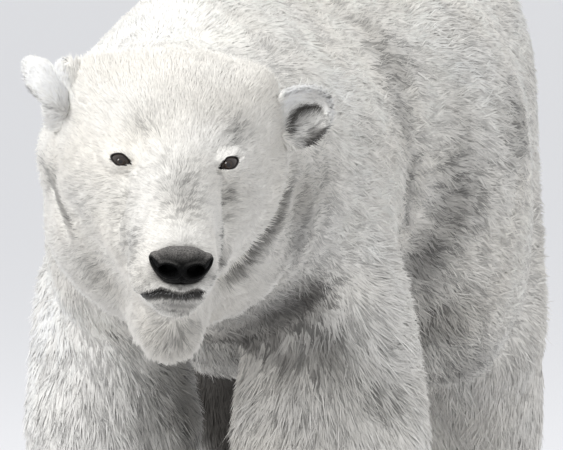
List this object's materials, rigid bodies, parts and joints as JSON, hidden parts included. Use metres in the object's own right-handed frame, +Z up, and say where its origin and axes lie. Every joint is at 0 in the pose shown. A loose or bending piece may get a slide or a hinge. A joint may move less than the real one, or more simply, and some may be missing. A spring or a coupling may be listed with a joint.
{
  "type": "polar bear",
  "caption": "Life-size still model of an adult polar bear standing mid-stride, head lowered and turned to face ahead of its right shoulder.",
  "frame": {"origin": "on the floor, midway between the nose tip and the rump and midway between the flanks", "axes": "+Z up, +Y from the head back to the rump, +X to the animal's left"},
  "size_m": [0.6462, 2.0842, 1.2099],
  "materials": {
    "coat": "matte, dense off-white fur",
    "nose_leather": "moist, finely pebbled black skin",
    "eye": "glossy, very dark brown",
    "claw_horn": "satin black-brown horn"
  },
  "bodies": {
    "root": {"head": "coat", "neck": "coat", "trunk": "coat", "tail": "coat", "ear_left": "coat", "ear_right": "coat", "eye_left": "eye", "eye_right": "eye", "nose": "nose_leather", "foreleg_left_upper": "coat", "foreleg_left_lower": "coat", "foreleg_left_paw": "coat", "foreleg_left_claw_1": "claw_horn", "foreleg_left_claw_2": "claw_horn", "foreleg_left_claw_3": "claw_horn", "foreleg_left_claw_4": "claw_horn", "foreleg_left_claw_5": "claw_horn", "foreleg_right_upper": "coat", "foreleg_right_lower": "coat", "foreleg_right_paw": "coat", "foreleg_right_claw_1": "claw_horn", "foreleg_right_claw_2": "claw_horn", "foreleg_right_claw_3": "claw_horn", "foreleg_right_claw_4": "claw_horn", "foreleg_right_claw_5": "claw_horn", "hindleg_left_upper": "coat", "hindleg_left_lower": "coat", "hindleg_left_paw": "coat", "hindleg_left_claw_1": "claw_horn", "hindleg_left_claw_2": "claw_horn", "hindleg_left_claw_3": "claw_horn", "hindleg_left_claw_4": "claw_horn", "hindleg_left_claw_5": "claw_horn", "hindleg_right_upper": "coat", "hindleg_right_lower": "coat", "hindleg_right_paw": "coat", "hindleg_right_claw_1": "claw_horn", "hindleg_right_claw_2": "claw_horn", "hindleg_right_claw_3": "claw_horn", "hindleg_right_claw_4": "claw_horn", "hindleg_right_claw_5": "claw_horn"}
  },
  "joints": []
}
